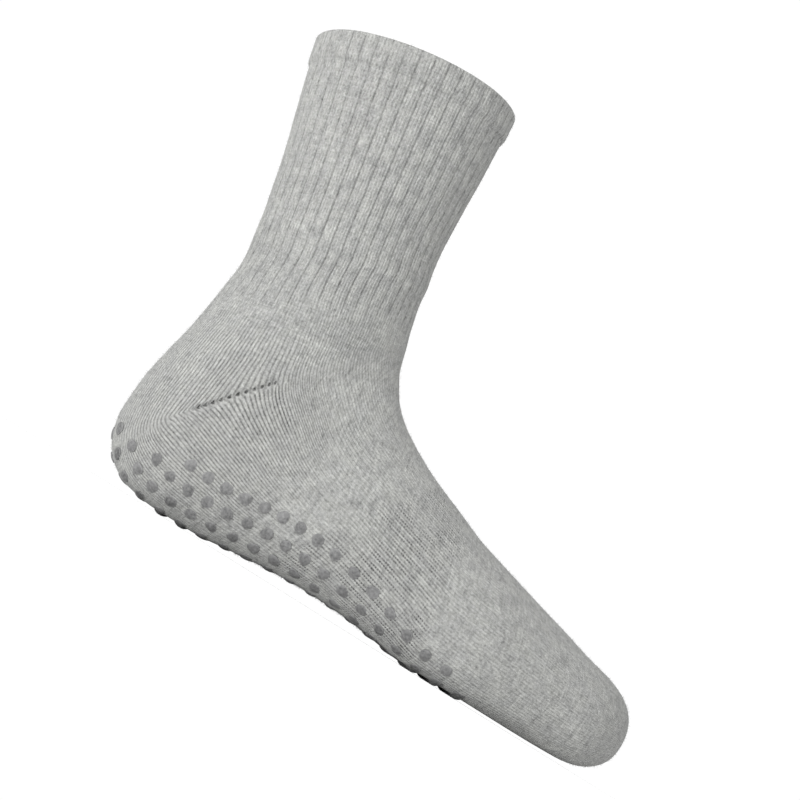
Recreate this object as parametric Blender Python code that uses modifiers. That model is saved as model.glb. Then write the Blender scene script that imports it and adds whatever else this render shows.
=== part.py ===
"""Slipper sock with silicone grip dots, standing on its sole in the form of the foot that wears it.

The knitted sock is one hollow wall: leg, heel pocket, foot and toe, with a double welt at the collar and a
terry sole that is thicker inside. The wall is a loft through sections. Each section is a closed ring in a
plane across the sock: upright along the foot, fanned round the bend of the ankle at the heel, and square to
the leg above it. Both sides are alike, because the sock fits either foot. +X is towards the toes and +Z is
up. The origin is on the floor, under the middle of the sock's box.
"""

import math
from collections import namedtuple

import bmesh
import bpy
import numpy as np
from mathutils import Matrix, Vector

MM = 0.001

# Driving sizes of the foot, with the sock on it
FOOT_LENGTH = 248 * MM
BALL_WIDTH = 94 * MM
HEEL_WIDTH = 66 * MM
INSTEP_HEIGHT = 92 * MM
ARCH_RISE = 4.2 * MM

# Driving sizes of the leg
COLLAR_HEIGHT = 215 * MM
COLLAR_DEPTH = 90 * MM
COLLAR_WIDTH = 76 * MM
ANKLE_RISE = 31 * MM
ANKLE_DEPTH = 74 * MM
ANKLE_WIDTH = 61 * MM
LEG_LEAN = math.radians(10)

# The middle of the ankle is this much higher than the instep
ANKLE_HEIGHT = INSTEP_HEIGHT + ANKLE_RISE

# The knitted wall
LEG_WALL = 1.8 * MM
SOLE_WALL = 3.0 * MM

# The welt at the collar stands proud of the leg, with a rounded upper edge
WELT_WALL = 2.6 * MM
WELT_HEIGHT = 12 * MM
WELT_STEP = 1.1 * MM
WELT_EDGE = 1.2 * MM

# The grip dots, in rows on each side of the middle of the sole
DOT_DIAMETER = 4.2 * MM
DOT_TOP_DIAMETER = 3.0 * MM
DOT_HEIGHT = 0.9 * MM
DOT_GAP = 0.3 * MM
DOT_ROOT = 1.5 * MM
DOT_ROW_PITCH = 0.1043 * BALL_WIDTH
DOT_ROWS_A_SIDE = 5
DOT_COLUMNS = 19
DOT_FIELD_TOP = 17 * MM
DOT_FIELD_END = 0.71
DOT_LEVEL_SLACK = 0.07 * DOT_GAP

# How finely the wall and the dots are faceted
SECTION_STEP = 11.5 * MM
RING_HALF = 15
CURVE_STEPS = 24
CAP_RINGS = 4
DOT_SIDES = 6
FLOOR_DOT_SIDES = 8

# The sole is held off the floor by the dots that it stands on
SOLE_LEVEL = DOT_HEIGHT + DOT_GAP

# One section. Its ring goes from a sole point to a top point, in the plane through both that runs along Y.
# half is its half width. flat is the share of it that lies flat at the sole point. girth is the share of the
# ring's height where it is widest. under and over are the fullness of its curves below and above that.
Section = namedtuple("Section", "sole_x sole_z top_x top_z half flat girth under over")

# Sections across the foot, from the toes back. at: share of the foot's length, from the heel's back.
# sole: share of the arch's rise. top: share of the instep's height. half: share of the ball's width.
FOOT_TABLE = """
at     sole   top    half   flat   girth  under  over
1.000  0.70   0.420  0.265  0.36   0.48   2.2    2.0
0.950  0.35   0.436  0.325  0.40   0.46   2.2    2.0
0.900  0.10   0.461  0.368  0.46   0.44   2.2    2.0
0.830  0.00   0.512  0.420  0.52   0.42   2.2    1.9
0.765  0.00   0.558  0.462  0.57   0.40   2.2    1.9
0.695  0.00   0.610  0.498  0.59   0.38   2.2    1.9
0.625  0.00   0.663  0.488  0.595  0.38   2.2    1.9
0.560  0.45   0.735  0.455  0.50   0.38   2.2    1.9
0.490  0.90   0.814  0.424  0.42   0.38   2.1    1.9
0.425  1.00   0.912  0.400  0.36   0.38   2.1    1.9
"""

# Sections fanned round the heel. at and top_at: shares of the foot's length. rise: share of the instep's
# height. arch: share of the arch's rise. half: share of the heel's width.
HEEL_TABLE = """
at     rise   arch   top_at  top    half   flat   girth  under  over
0.355  0.000  0.85   0.398   0.972  0.540  0.32   0.38   2.1    1.9
0.280  0.000  0.42   0.3825  1.023  0.522  0.30   0.40   2.05   1.9
0.205  0.000  0.00   0.3705  1.074  0.517  0.30   0.41   2.05   1.9
0.140  0.000  0.00   0.3625  1.117  0.513  0.30   0.42   2.05   1.9
0.085  0.020  0.00   0.3565  1.155  0.511  0.26   0.43   2.05   1.9
0.042  0.075  0.00   0.3525  1.190  0.508  0.16   0.44   2.05   1.9
0.013  0.175  0.00   0.349   1.225  0.506  0.06   0.45   2.05   1.9
0.000  0.310  0.00   0.345   1.260  0.502  0.00   0.46   2.0    1.95
0.002  0.460  0.00   0.3405  1.300  0.500  0.00   0.47   2.0    1.95
0.012  0.630  0.00   0.336   1.345  0.495  0.00   0.48   1.95   2.0
0.024  0.810  0.00   0.3315  1.395  0.485  0.00   0.49   1.9    2.0
0.031  1.000  0.00   0.3275  1.455  0.475  0.00   0.50   1.9    2.0
"""

# Sections square to the leg. up: share of the leg's length from the ankle to the collar. tip: degrees that
# the section still tips towards the heel. deep and wide: 0 at the ankle's size and 1 at the collar's.
LEG_TABLE = """
up     tip    deep   wide   girth  under  over
0.00   14.0   0.30   0.02   0.50   1.95   2.0
0.13   8.5    0.16   0.00   0.50   2.0    2.0
0.27   4.0    0.17   0.06   0.50   2.0    2.0
0.43   1.2    0.33   0.24   0.50   2.0    2.0
0.60   0.0    0.55   0.47   0.50   2.0    2.0
0.77   0.0    0.78   0.72   0.50   2.0    2.0
0.90   0.0    0.93   0.90   0.50   2.0    2.0
1.00   0.0    1.00   1.00   0.50   2.0    2.0
"""

# The middle of the ankle's section, as a share of the foot's length from the heel's back
ANKLE_AT = 0.18

# The toe is rounded from TOE_CAP_AT of the foot's length to a tip at TOE_TIP of the instep's height
TOE_CAP_AT = 0.905
TOE_TIP = 0.215
TOE_FULLNESS_UP = 2.4
TOE_FULLNESS_ACROSS = 2.0
TOE_LAST_RING = math.radians(84)

# The terry wall reaches this share of the half ring from the sole, and thins to the leg's over the next one
TERRY_SHARE = 0.24
TERRY_FADE = 0.10
TERRY_HEEL_TOP = 0.6


def read_table(text):
    """The rows of a table as dictionaries, by the names in its first line."""
    lines = text.strip().splitlines()
    names = lines[0].split()
    return [dict(zip(names, map(float, line.split()))) for line in lines[1:]]


def ring_shape(row):
    """The values of a section that its table row gives as they are."""
    return {name: row[name] for name in ("girth", "under", "over")}


def foot_sections():
    """The sections of the foot, from the toes back."""
    found = []
    for row in read_table(FOOT_TABLE):
        x = row["at"] * FOOT_LENGTH
        sole_z = SOLE_LEVEL + row["sole"] * ARCH_RISE
        top_z = row["top"] * INSTEP_HEIGHT
        found.append(Section(x, sole_z, x, top_z, row["half"] * BALL_WIDTH, row["flat"], **ring_shape(row)))
    return found


def heel_sections():
    """The sections fanned round the heel, from the arch to the ankle."""
    found = []
    for row in read_table(HEEL_TABLE):
        sole_x = row["at"] * FOOT_LENGTH
        sole_z = SOLE_LEVEL + row["arch"] * ARCH_RISE + row["rise"] * INSTEP_HEIGHT
        top_x = row["top_at"] * FOOT_LENGTH
        top_z = row["top"] * INSTEP_HEIGHT
        half = row["half"] * HEEL_WIDTH
        found.append(Section(sole_x, sole_z, top_x, top_z, half, row["flat"], **ring_shape(row)))
    return found


def leg_sections():
    """The sections of the leg, from the ankle to the collar."""
    found = []
    length = (COLLAR_HEIGHT - ANKLE_HEIGHT) / math.cos(LEG_LEAN)
    for row in read_table(LEG_TABLE):
        up = row["up"] * length
        mid_x = ANKLE_AT * FOOT_LENGTH - up * math.sin(LEG_LEAN)
        mid_z = ANKLE_HEIGHT + up * math.cos(LEG_LEAN)
        tilt = LEG_LEAN + math.radians(row["tip"])
        half_depth = (ANKLE_DEPTH + row["deep"] * (COLLAR_DEPTH - ANKLE_DEPTH)) / 2
        half = (ANKLE_WIDTH + row["wide"] * (COLLAR_WIDTH - ANKLE_WIDTH)) / 2
        ahead, higher = half_depth * math.cos(tilt), half_depth * math.sin(tilt)
        ends = (mid_x - ahead, mid_z - higher, mid_x + ahead, mid_z + higher)
        found.append(Section(*ends, half, 0.0, **ring_shape(row)))
    return found


class Sock:
    """The sock's outer surface. A way is a distance from the toes, along the sole and up the back."""

    def __init__(self):
        self.rows = np.array(foot_sections() + heel_sections() + leg_sections())
        steps = np.hypot(np.diff(self.rows[:, 0]), np.diff(self.rows[:, 1]))
        self.ways = np.concatenate([[0.0], np.cumsum(steps)])
        self.slopes = self.smooth_slopes()
        self.collar_way = self.ways[-1]
        self.rows_to_heel = int(np.argmax(np.diff(self.rows[:, 0]) >= 0)) + 1

    def smooth_slopes(self):
        """The slope of each column at each row, level at its peaks so that a flat stretch stays flat."""
        gaps = np.diff(self.ways)[:, None]
        rates = np.diff(self.rows, axis=0) / gaps
        before, after = rates[:-1], rates[1:]
        near, far = gaps[:-1], gaps[1:]
        same_way = before * after > 0
        before_weight, after_weight = 2 * far + near, far + 2 * near
        before = np.where(same_way, before, 1.0)
        after = np.where(same_way, after, 1.0)
        middle = (before_weight + after_weight) / (before_weight / before + after_weight / after)
        return np.concatenate([rates[:1], np.where(same_way, middle, 0.0), rates[-1:]])

    def section_at(self, way):
        """The section at a way, smoothly between the rows of the tables."""
        way = min(max(way, 0.0), self.collar_way)
        row = int(np.clip(np.searchsorted(self.ways, way, side="right") - 1, 0, len(self.ways) - 2))
        gap = self.ways[row + 1] - self.ways[row]
        t = (way - self.ways[row]) / gap
        start = (2 * t**3 - 3 * t**2 + 1) * self.rows[row] + (t**3 - 2 * t**2 + t) * gap * self.slopes[row]
        end = (3 * t**2 - 2 * t**3) * self.rows[row + 1] + (t**3 - t**2) * gap * self.slopes[row + 1]
        return grown(Section(*(start + end)), self.welt_rise(way))

    def welt_rise(self, way):
        """How far the surface at a way stands out from the leg's: the welt's step, less its rounded edge."""
        below = self.collar_way - way
        share = min(max((WELT_HEIGHT - below) / WELT_EDGE + 0.5, 0.0), 1.0)
        rise = WELT_STEP * share * share * (3 - 2 * share)
        if below < WELT_EDGE:
            rise -= WELT_EDGE * (1 - math.sqrt(1 - (1 - below / WELT_EDGE) ** 2))
        return rise

    def way_of_sole_x(self, x):
        """The way to where the sole is at x, between the toes and the heel's back."""
        count = self.rows_to_heel
        return float(np.interp(-x, -self.rows[:count, 0], self.ways[:count]))


def grown(section, rise):
    """A section made larger by a rise all round."""
    slope = math.atan2(section.top_z - section.sole_z, section.top_x - section.sole_x)
    ahead, higher = rise * math.cos(slope), rise * math.sin(slope)
    return section._replace(
        sole_x=section.sole_x - ahead,
        sole_z=section.sole_z - higher,
        top_x=section.top_x + ahead,
        top_z=section.top_z + higher,
        half=section.half + rise,
    )


def half_ring(section):
    """One side of a ring from the sole point to the top point: its distances across and up, and its lengths."""
    height = math.hypot(section.top_x - section.sole_x, section.top_z - section.sole_z)
    widest = section.girth * height
    flat = section.flat * section.half
    turn = np.linspace(0, math.pi / 2, CURVE_STEPS)
    low_across = flat + (section.half - flat) * np.sin(turn) ** (2 / section.under)
    low_up = widest * (1 - np.cos(turn) ** (2 / section.under))
    high_across = section.half * np.cos(turn) ** (2 / section.over)
    high_up = widest + (height - widest) * np.sin(turn) ** (2 / section.over)
    across = np.concatenate([[0.0], low_across, high_across[1:]])
    up = np.concatenate([[0.0], low_up, high_up[1:]])
    lengths = np.concatenate([[0.0], np.cumsum(np.hypot(np.diff(across), np.diff(up)))])
    return across, up, lengths


def ring_points(section, side, distances):
    """The points at distances along one side of a ring from its sole point. side is 1 for +Y and -1 for -Y."""
    across, up, lengths = half_ring(section)
    direction = Vector((section.top_x - section.sole_x, 0, section.top_z - section.sole_z)).normalized()
    found = []
    for distance in distances:
        y = side * float(np.interp(distance, lengths, across))
        found.append(Vector((section.sole_x, y, section.sole_z)) + direction * float(np.interp(distance, lengths, up)))
    return found


def whole_ring(section):
    """The points of a ring: up the +Y side from the sole point, then down the -Y side."""
    length = half_ring(section)[2][-1]
    distances = [length * k / RING_HALF for k in range(RING_HALF + 1)]
    return ring_points(section, 1, distances) + ring_points(section, -1, distances[-2:0:-1])


def rounding(reach, fullness):
    """The size left of a rounded end at a share of the way to its tip."""
    return (1 - reach**fullness) ** (1 / fullness)


def toe_section(sock, reach):
    """A section of the rounded toe, at a share of the way from the start of the rounding to the tip."""
    x = FOOT_LENGTH * (TOE_CAP_AT + (1 - TOE_CAP_AT) * reach)
    section = sock.section_at(sock.way_of_sole_x(x))
    size = rounding(reach, TOE_FULLNESS_UP)
    tip_z = TOE_TIP * INSTEP_HEIGHT
    return section._replace(
        sole_x=x,
        sole_z=tip_z + (section.sole_z - tip_z) * size,
        top_x=x,
        top_z=tip_z + (section.top_z - tip_z) * size,
        half=section.half * rounding(reach, TOE_FULLNESS_ACROSS),
    )


def spaced(start, end):
    """Ways from start to end, evenly spaced and no further apart than a section step."""
    return list(np.linspace(start, end, math.ceil((end - start) / SECTION_STEP) + 1))


def wall_sections(sock):
    """The sections that the wall is lofted through, and how many of them at the end are the welt's."""
    turns = [TOE_LAST_RING * k / CAP_RINGS for k in range(CAP_RINGS, 0, -1)]
    toe = [toe_section(sock, math.sin(turn)) for turn in turns]
    welt_way = sock.collar_way - WELT_HEIGHT
    knots = [sock.way_of_sole_x(TOE_CAP_AT * FOOT_LENGTH)]
    knots += [way for way in sock.ways if knots[0] + SECTION_STEP / 2 < way < welt_way - SECTION_STEP / 2]
    knots.append(welt_way - WELT_EDGE / 2)
    body_ways = [way for start, end in zip(knots, knots[1:]) for way in spaced(start, end)[:-1]] + knots[-1:]
    welt_ways = spaced(welt_way + WELT_EDGE / 2, sock.collar_way - WELT_EDGE)
    welt_ways += [sock.collar_way - WELT_EDGE / 3, sock.collar_way]
    return toe + [sock.section_at(way) for way in body_ways + welt_ways], len(welt_ways)


def wall_thickness(section, k):
    """The wall at the k-th point of a ring: terry under the foot and round the heel, plain knit above."""
    share = min(k, 2 * RING_HALF - k) / RING_HALF
    round_foot = min(max(1 - (share - TERRY_SHARE) / TERRY_FADE, 0.0), 1.0)
    up_heel = min(max(1 - section.sole_z / (TERRY_HEEL_TOP * INSTEP_HEIGHT), 0.0), 1.0)
    return LEG_WALL + (SOLE_WALL - LEG_WALL) * round_foot * up_heel


def build_knitted_wall(sock):
    """The sock's knitted wall as one hollow solid, open at the collar."""
    sections, welt_count = wall_sections(sock)
    around = 2 * RING_HALF
    points, faces, walls = [Vector((FOOT_LENGTH, 0, TOE_TIP * INSTEP_HEIGHT))], [], [LEG_WALL]
    for number, section in enumerate(sections):
        points += whole_ring(section)
        in_welt = number >= len(sections) - welt_count
        walls += [WELT_WALL if in_welt else wall_thickness(section, k) for k in range(around)]
        before, here = 1 + (number - 1) * around, 1 + number * around
        for k in range(around):
            after = (k + 1) % around
            if number == 0:
                faces.append((0, here + k, here + after))
            else:
                faces.append((before + k, here + k, here + after, before + after))
    mesh = bpy.data.meshes.new("sock_body")
    mesh.from_pydata(points, [], faces)
    mesh.shade_smooth()
    wall = bpy.data.objects.new("sock_body", mesh)
    group = wall.vertex_groups.new(name="wall")
    for index, thickness in enumerate(walls):
        group.add([index], thickness / SOLE_WALL, "REPLACE")
    solidify = wall.modifiers.new("wall", "SOLIDIFY")
    solidify.thickness = SOLE_WALL
    solidify.offset = -1
    solidify.vertex_group = "wall"
    solidify.use_even_offset = True
    return wall


def dot_columns(sock):
    """The ways to the columns of dots, evenly from the ball to the back of the heel."""
    heel_rows = slice(sock.rows_to_heel - 5, sock.rows_to_heel + 1)
    last = float(np.interp(SOLE_LEVEL + DOT_FIELD_TOP, sock.rows[heel_rows, 1], sock.ways[heel_rows]))
    first = sock.way_of_sole_x(DOT_FIELD_END * FOOT_LENGTH)
    return list(np.linspace(first, last, DOT_COLUMNS))


def dot_places(sock):
    """Every dot as its name, its point on the sole, the direction out of the sole, and if it is on the floor."""
    nudge = DOT_DIAMETER / 10
    columns = dot_columns(sock)
    found = []
    for column, way in enumerate(columns):
        section = sock.section_at(way)
        from_front, from_back = column, len(columns) - 1 - column
        for row in range(DOT_ROWS_A_SIDE):
            if from_back < row - 1 or from_front < row - 3:
                continue
            distance = (row + 0.5) * DOT_ROW_PITCH
            level = section.sole_z - SOLE_LEVEL < DOT_LEVEL_SLACK
            on_flat = distance + DOT_DIAMETER / 2 <= section.flat * section.half
            for side, word in ((1, "left"), (-1, "right")):
                point, higher = ring_points(section, side, [distance, distance + nudge])
                ahead = ring_points(sock.section_at(way - nudge), side, [distance])[0]
                out = (higher - point).cross(ahead - point).normalized() * side
                name = f"grip_dot_{word}_{row + 1}_{column + 1:02d}"
                found.append((name, point, out, bool(level and on_flat)))
    return found


def stud(sides, height):
    """A low stud with sloping sides, from its wide face at the origin down to its narrow face."""
    shape = bmesh.new()
    bmesh.ops.create_cone(
        shape,
        cap_ends=True,
        segments=sides,
        radius1=DOT_TOP_DIAMETER / 2,
        radius2=DOT_DIAMETER / 2,
        depth=height,
        matrix=Matrix.Translation((0, 0, -height / 2)),
    )
    mesh = bpy.data.meshes.new("grip_dot")
    shape.to_mesh(mesh)
    shape.free()
    return mesh


def floor_dots(sock):
    """The dots that the sock stands on, each a piece of its own just clear of the knitted sole."""
    dots = []
    mesh = stud(FLOOR_DOT_SIDES, DOT_HEIGHT)
    for name, point, out, on_floor in dot_places(sock):
        if on_floor:
            dot = bpy.data.objects.new(name, mesh)
            dot.location = (point.x, point.y, DOT_HEIGHT)
            dots.append(dot)
    return dots


def raised_dots(sock):
    """The dots off the floor, in the arch and up the sides, as one mesh to be joined to the wall."""
    shape = bmesh.new()
    mesh = stud(DOT_SIDES, DOT_HEIGHT + DOT_ROOT)
    for name, point, out, on_floor in dot_places(sock):
        if not on_floor:
            turned = (-out).to_track_quat("Z", "X").to_matrix().to_4x4()
            first_new = len(shape.verts)
            shape.from_mesh(mesh)
            new = shape.verts[:][first_new:]
            bmesh.ops.transform(shape, matrix=Matrix.Translation(point - out * DOT_ROOT) @ turned, verts=new)
    joined = bpy.data.meshes.new("raised_dots")
    shape.to_mesh(joined)
    shape.free()
    cutter = bpy.data.objects.new("raised_dots", joined)
    cutter.hide_render = True
    cutter.display_type = "WIRE"
    return cutter


def material(name, colour, roughness):
    made = bpy.data.materials.new(name)
    made.use_nodes = True
    shader = made.node_tree.nodes["Principled BSDF"]
    shader.inputs["Base Color"].default_value = (*colour, 1.0)
    shader.inputs["Roughness"].default_value = roughness
    made.diffuse_color = (*colour, 1.0)
    return made


def middle_of_length(sock):
    """The middle of the sock's box along X."""
    points = np.array([point[:] for section in wall_sections(sock)[0] for point in whole_ring(section)])
    return (points[:, 0].min() + FOOT_LENGTH) / 2


def main():
    for old in list(bpy.data.objects):
        bpy.data.objects.remove(old)
    parts = bpy.data.collections.new("slipper_sock")
    cutters = bpy.data.collections.new("cutters")
    for group in (parts, cutters):
        bpy.context.scene.collection.children.link(group)

    sock = Sock()
    wall = build_knitted_wall(sock)
    raised = raised_dots(sock)
    dots = floor_dots(sock)
    union = wall.modifiers.new("raised dots", "BOOLEAN")
    union.operation = "UNION"
    union.object = raised

    wall.data.materials.append(material("grey_knit", (0.39, 0.39, 0.38), 0.95))
    silicone = material("grey_silicone", (0.20, 0.20, 0.20), 0.45)
    dots[0].data.materials.append(silicone)
    raised.data.materials.append(silicone)
    for piece in (wall, *dots):
        parts.objects.link(piece)
    cutters.objects.link(raised)
    for piece in (wall, raised, *dots):
        piece.location.x -= middle_of_length(sock)


main()
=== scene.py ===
"""The slipper sock's looks: its knitted surface, grip dots, a plain floor, soft light and the camera."""

import math
from collections import namedtuple

import bpy
import numpy as np
from mathutils import Matrix, Vector

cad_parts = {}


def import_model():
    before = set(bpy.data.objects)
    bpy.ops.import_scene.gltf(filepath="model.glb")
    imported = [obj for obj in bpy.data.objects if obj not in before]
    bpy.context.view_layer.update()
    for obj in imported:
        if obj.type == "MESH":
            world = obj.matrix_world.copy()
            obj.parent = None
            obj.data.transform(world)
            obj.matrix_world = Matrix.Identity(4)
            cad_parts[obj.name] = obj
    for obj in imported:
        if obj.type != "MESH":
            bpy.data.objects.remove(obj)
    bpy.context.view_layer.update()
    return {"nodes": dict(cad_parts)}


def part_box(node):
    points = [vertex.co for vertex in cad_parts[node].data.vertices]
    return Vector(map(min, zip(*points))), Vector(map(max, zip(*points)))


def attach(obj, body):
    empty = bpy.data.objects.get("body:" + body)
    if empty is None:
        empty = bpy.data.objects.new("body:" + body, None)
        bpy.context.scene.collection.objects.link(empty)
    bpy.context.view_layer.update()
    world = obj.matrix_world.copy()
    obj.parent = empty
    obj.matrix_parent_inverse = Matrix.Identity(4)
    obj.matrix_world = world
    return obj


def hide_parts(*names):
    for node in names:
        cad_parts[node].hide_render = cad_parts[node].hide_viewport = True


MM = 0.001

# The sock's driving sizes
FOOT_LENGTH = 248 * MM
BALL_WIDTH = 94 * MM
HEEL_WIDTH = 66 * MM
INSTEP_HEIGHT = 92 * MM
ARCH_RISE = 4.2 * MM
COLLAR_HEIGHT = 215 * MM
COLLAR_DEPTH = 90 * MM
COLLAR_WIDTH = 76 * MM
ANKLE_RISE = 31 * MM
ANKLE_DEPTH = 74 * MM
ANKLE_WIDTH = 61 * MM
LEG_LEAN = math.radians(10)

# The ankle's height follows the instep's
ANKLE_HEIGHT = INSTEP_HEIGHT + ANKLE_RISE

# The wall, and the welt at the collar
LEG_WALL = 1.8 * MM
SOLE_WALL = 3.0 * MM
WELT_WALL = 2.6 * MM
WELT_HEIGHT = 12 * MM
WELT_STEP = 1.1 * MM
WELT_EDGE = 1.2 * MM

# The grip dots, and how far their field reaches up the heel and along the foot
DOT_DIAMETER = 4.2 * MM
DOT_HEIGHT = 0.9 * MM
DOT_GAP = 0.3 * MM
DOT_ROW_PITCH = 0.1043 * BALL_WIDTH
DOT_ROWS_A_SIDE = 5
DOT_COLUMNS = 19
DOT_FIELD_TOP = 17 * MM
DOT_FIELD_END = 0.71

# The sole's height over the floor
SOLE_LEVEL = DOT_HEIGHT + DOT_GAP

# Places as shares of the foot's length or the instep's height, and how full the toe's rounding is
ANKLE_AT = 0.18
TOE_CAP_AT = 0.905
TOE_TIP = 0.215
TOE_FULLNESS_UP = 2.4
TOE_FULLNESS_ACROSS = 2.0

# How far the terry reaches round the foot, as shares of the half ring, and up the heel
TERRY_SHARE = 0.24
TERRY_FADE = 0.10
TERRY_HEEL_TOP = 0.6

# One section. Its ring goes from a sole point to a top point, in the plane through both that runs along Y.
Section = namedtuple("Section", "sole_x sole_z top_x top_z half flat girth under over")

# The foot's sections as shares: at of its length, sole of the arch's rise, top of the instep's height, half of
# the ball's width, flat of that half, girth of the section's height. under and over are how full it is there.
FOOT_TABLE = """
at    sole top   half  flat  girth under over
1.000 0.70 0.420 0.265 0.36  0.48  2.2   2.0
0.950 0.35 0.436 0.325 0.40  0.46  2.2   2.0
0.900 0.10 0.461 0.368 0.46  0.44  2.2   2.0
0.830 0.00 0.512 0.420 0.52  0.42  2.2   1.9
0.765 0.00 0.558 0.462 0.57  0.40  2.2   1.9
0.695 0.00 0.610 0.498 0.59  0.38  2.2   1.9
0.625 0.00 0.663 0.488 0.595 0.38  2.2   1.9
0.560 0.45 0.735 0.455 0.50  0.38  2.2   1.9
0.490 0.90 0.814 0.424 0.42  0.38  2.1   1.9
0.425 1.00 0.912 0.400 0.36  0.38  2.1   1.9
"""

# The sections fanned round the heel: rise is a share of the instep's height, and half of the heel's width
HEEL_TABLE = """
at    rise  arch top_at top   half  flat girth under over
0.355 0.000 0.85 0.398  0.972 0.540 0.32 0.38  2.1   1.9
0.280 0.000 0.42 0.3825 1.023 0.522 0.30 0.40  2.05  1.9
0.205 0.000 0.00 0.3705 1.074 0.517 0.30 0.41  2.05  1.9
0.140 0.000 0.00 0.3625 1.117 0.513 0.30 0.42  2.05  1.9
0.085 0.020 0.00 0.3565 1.155 0.511 0.26 0.43  2.05  1.9
0.042 0.075 0.00 0.3525 1.190 0.508 0.16 0.44  2.05  1.9
0.013 0.175 0.00 0.349  1.225 0.506 0.06 0.45  2.05  1.9
0.000 0.310 0.00 0.345  1.260 0.502 0.00 0.46  2.0   1.95
0.002 0.460 0.00 0.3405 1.300 0.500 0.00 0.47  2.0   1.95
0.012 0.630 0.00 0.336  1.345 0.495 0.00 0.48  1.95  2.0
0.024 0.810 0.00 0.3315 1.395 0.485 0.00 0.49  1.9   2.0
0.031 1.000 0.00 0.3275 1.455 0.475 0.00 0.50  1.9   2.0
"""

# The leg's sections: up is a share of its length, tip an angle, deep and wide shares from ankle to collar
LEG_TABLE = """
up   tip  deep wide girth under over
0.00 14.0 0.30 0.02 0.50  1.95  2.0
0.13 8.5  0.16 0.00 0.50  2.0   2.0
0.27 4.0  0.17 0.06 0.50  2.0   2.0
0.43 1.2  0.33 0.24 0.50  2.0   2.0
0.60 0.0  0.55 0.47 0.50  2.0   2.0
0.77 0.0  0.78 0.72 0.50  2.0   2.0
0.90 0.0  0.93 0.90 0.50  2.0   2.0
1.00 0.0  1.00 1.00 0.50  2.0   2.0
"""

# The knit: wales on each side of the sock, the wales of a leg rib, and the height of a course
WALES_A_SIDE = 84
RIB_WALES = 4
COURSE = 1.15 * MM

# The number of the leg's course at the collar, and of the lining's first course
LEG_COURSES = 700
LINING_COURSES = 3000

# Depths of the valleys between ribs, of a rib's crown and of the grooves between wales
RIB_DEPTH = 0.32 * MM
RIB_CROWN = 0.25 * MM
LEG_GROOVE = 0.08 * MM
FOOT_GROOVE = 0.14 * MM
HEEL_GROOVE = 0.19 * MM
UNDER_GORE_GROOVE = 0.04 * MM
BAND_GROOVE = 0.30 * MM

# A valley's half width in wales, and where the grooves start behind the toe's tip and deepen at the gore
VALLEY_WALES = 0.55
TOE_FADE = (1 * MM, 14 * MM)
UNDER_GORE_FADE = (-5 * MM, 0)

# Where the mesh's points lie across a wale, and the number of sections of each stretch
WALE_POINTS = (0.0, 0.15, 0.36, 0.64, 0.85)
LEG_SECTIONS = 78
FOOT_SECTIONS = 88
FOLD_SECTIONS = 11
CUFF_SECTIONS = 7
EDGE_SECTIONS = 6
CAP_SECTIONS = 14
LINING_SECTIONS = 110
LINING_TOP_SECTIONS = 8
LINING_TOE_SECTIONS = 9
GORE_STEPS = (0.45, 0.9, 1.5, 2.3, 3.3)
CURVE_STEPS = 160

# Where the welt's step begins and ends, over its lower edge
WELT_FOLD = (-1.3 * WELT_EDGE, 1.6 * WELT_EDGE)

# Where the unevenness fades in over the sole, how much of a crease reaches the sock's middle, and the waves
UNEVEN_FROM = (0.3 * MM, 8 * MM)
CREASE_LEAST = 0.35
SLOW_WAVE = 0.16 * MM
FINE_WAVE = 0.06 * MM

# The ribs' lower end at the back and at the front, as places along X and heights
RIB_END_BACK = (7.6 * MM, 88 * MM)
RIB_END_FRONT = (81.9 * MM, 118.4 * MM)
RIB_END_FADE = 6 * MM

# The mesh band round the arch, as the places of its ends at the sole and how far its ends lean per height
BAND_BACK_AT = 80 * MM
BAND_BACK_LEAN = 0.7
BAND_FRONT_AT = 153 * MM
BAND_FRONT_LEAN = -0.12
BAND_FADE = 3 * MM
BAND_TOP = (84 * MM, 96 * MM)

# Round the heel the first wales of a side are wider: their number, and their share of the half ring
HEEL_WALES = 42
HEEL_SHARE = 0.59
HEEL_WALES_FADE = (15 * MM, 95 * MM)

# The heel's gore line runs along the section that starts at this share of the foot's length, from one wale
# to another, counted from the sole's middle
GORE_AT = 0.021
GORE_FIRST_WALE = 29
GORE_LAST_WALE = 40

# The gore is a trough with a low ridge on either side, and its sections draw together towards this reach
GORE_TROUGH_DEPTH = 0.30 * MM
GORE_TROUGH_WIDTH = 0.8 * MM
GORE_RIDGE_HEIGHT = 0.22 * MM
GORE_RIDGE_WIDTH = 1.0 * MM
GORE_RIDGE_OFF = 2.4 * MM
GORE_FAN_REACH = 160 * MM

# At the gore the wales are pulled back towards the heel, so that they meet it at a slant. The pull is sharp
# on the gore and rounded left of it. It rises and falls at these distances round the heel.
GORE_PULL = 11 * MM
GORE_PULL_REACH = 11 * MM
GORE_PULL_BEND = 9 * MM
GORE_PULL_RISE = (4 * MM, 60 * MM)
GORE_PULL_FALL = (62 * MM, 88 * MM)
GORE_SHARP = (42 * MM, 55 * MM)

# Under the gore's front end a deep wale runs down: its half width in wales, and where it starts and ends
FORK_WALES = 1.1
FORK_DEPTH = 0.25 * MM
FORK_START = (0, 4 * MM)
FORK_END = (26 * MM, 44 * MM)

# The wales stand out most round the gore: the middle of that place in the side view, and its fading
HEEL_POCKET_AT = (30 * MM, 46 * MM)
HEEL_POCKET_FADE = (24 * MM, 52 * MM)
HEEL_POCKET_STRETCH = 1.25

# Wales along the sole's edge, band to toe, with more painted shade in their grooves: their numbers and places
# along X
SOLE_EDGE_WALES = (21.5, 24, 27, 30.5)
SOLE_EDGE_AT = (126 * MM, 150 * MM, 196 * MM, 222 * MM)

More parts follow.
